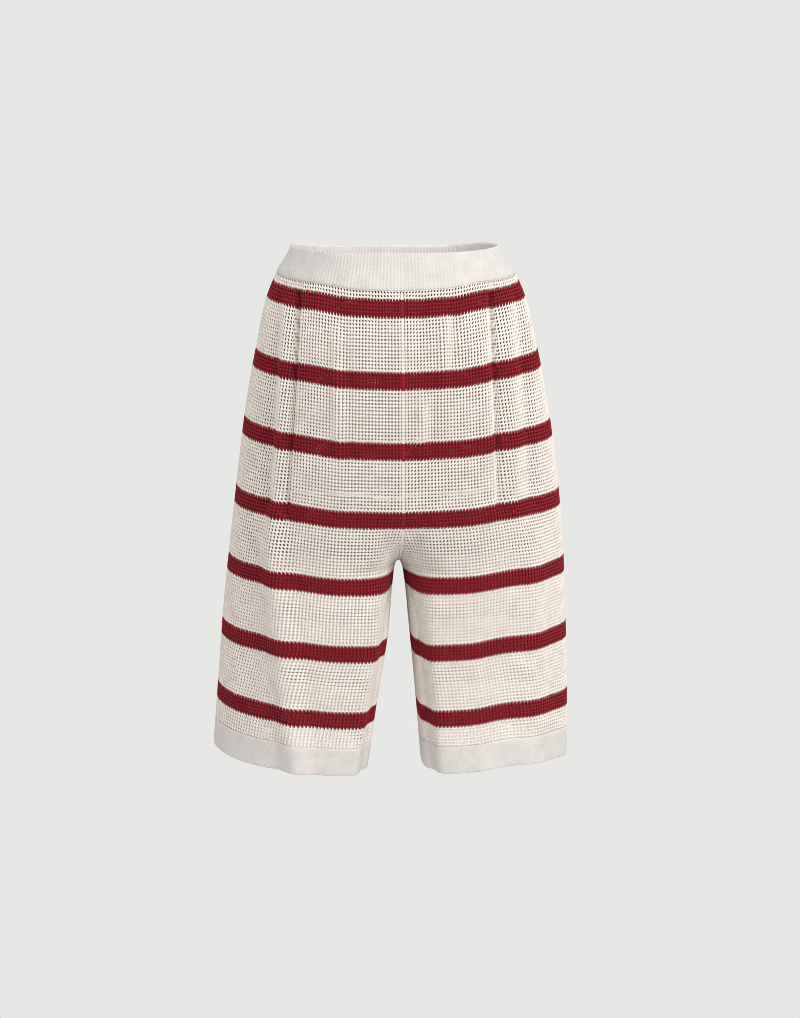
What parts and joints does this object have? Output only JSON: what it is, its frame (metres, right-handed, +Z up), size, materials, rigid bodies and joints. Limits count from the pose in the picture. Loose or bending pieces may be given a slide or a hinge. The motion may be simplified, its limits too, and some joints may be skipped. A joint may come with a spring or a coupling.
{
  "type": "bermuda shorts",
  "caption": "Knee-length knitted shorts, filled out as worn: open-knit legs with broad stripes, ribbed waistband and plain hem bands, hollow with open legs.",
  "frame": {"origin": "middle of the wearer's waist, half way up the waistband", "axes": "+Z up, out of the waist; the front faces -Y; +X towards the wearer's left"},
  "size_m": [0.4394, 0.2439, 0.641],
  "materials": {
    "open_knit": "matte open knit in cream with broad red stripes",
    "plain_knit": "matte rib and plain knit, cream"
  },
  "bodies": {
    "root": {"waistband": "plain_knit", "front_right": "open_knit", "front_left": "open_knit", "back_right": "open_knit", "back_left": "open_knit", "hem_right": "plain_knit", "hem_left": "plain_knit"}
  },
  "joints": []
}
